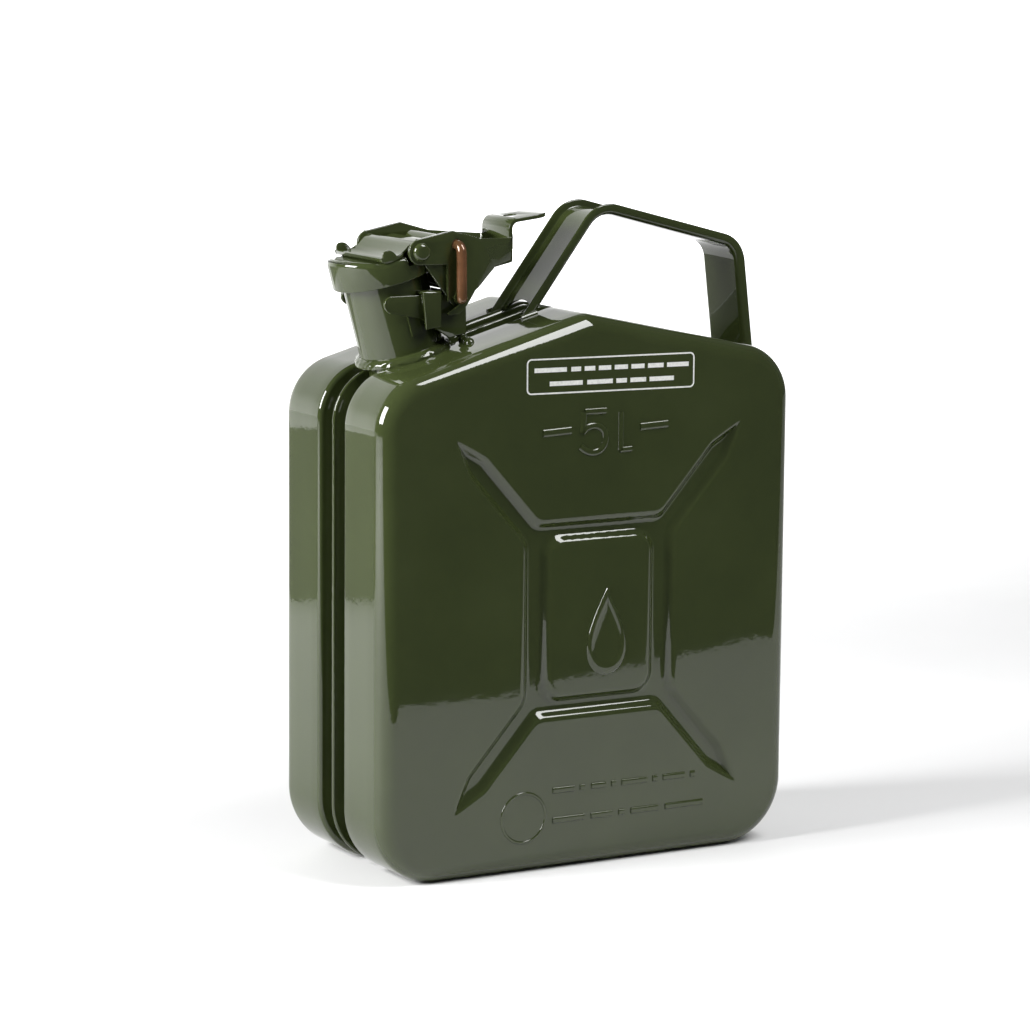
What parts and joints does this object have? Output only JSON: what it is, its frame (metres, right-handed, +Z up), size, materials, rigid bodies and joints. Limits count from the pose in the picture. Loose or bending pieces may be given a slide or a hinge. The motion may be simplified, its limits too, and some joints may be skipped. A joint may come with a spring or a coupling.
{
  "type": "jerry can",
  "caption": "Pressed-steel fuel can with a recessed welded seam, tilted neck, hinged cap with locking lever and wire pin, and a channel-section handle.",
  "frame": {"origin": "middle of the footprint, on the ground the can stands on", "axes": "+Z up, -Y out of the front panel, -X towards the filler neck, +X towards the handle's upright leg"},
  "size_m": [0.2325, 0.106, 0.3229],
  "materials": {
    "paint": "glossy olive green enamel",
    "steel": "zinc-plated",
    "rubber": "matt black",
    "copper_wire": "copper-plated steel wire, semi-gloss"
  },
  "bodies": {
    "can": {"front_shell": "paint", "back_shell": "paint", "seam_weld": "paint", "seam_end_weld": "paint", "neck_tube": "paint", "neck_rim": "paint", "neck_weld": "paint", "breather_tube": "steel", "neck_bracket": "paint", "bracket_welds": "paint", "catch_plate_left": "paint", "catch_plate_right": "paint", "hinge_pin": "paint", "handle": "paint", "handle_welds": "paint"},
    "cap": {"hinge_yoke": "paint", "cap_shell": "paint", "cap_inner_disc": "steel", "cap_gasket": "rubber", "gasket_retainer": "steel", "retainer_rivet": "steel", "cap_hinge_plate": "paint", "lever_pin": "paint", "pivot_washers": "paint"},
    "lever": {"locking_lever": "paint", "pin_guide_tube": "paint"},
    "wire": {"safety_pin": "copper_wire"}
  },
  "joints": [
    {"name": "lid_hinge", "type": "hinge", "parent": "can", "child": "cap", "pos_m": [-0.0605, 0, 0.282], "axis": [0, 1, 0], "range_deg": [0, 100]},
    {"name": "lever_pivot", "type": "hinge", "parent": "cap", "child": "lever", "pos_m": [-0.082, 0, 0.3044], "axis": [0, 1, 0], "range_deg": [-135, 0]},
    {"name": "safety_pin_slide", "type": "slide", "parent": "lever", "child": "wire", "axis": [0, -1, 0], "range_m": [0, 0.045]}
  ],
  "couplings": [
    {"joint": "lever_pivot", "follows": "lid_hinge", "ratio": -1.35}
  ]
}
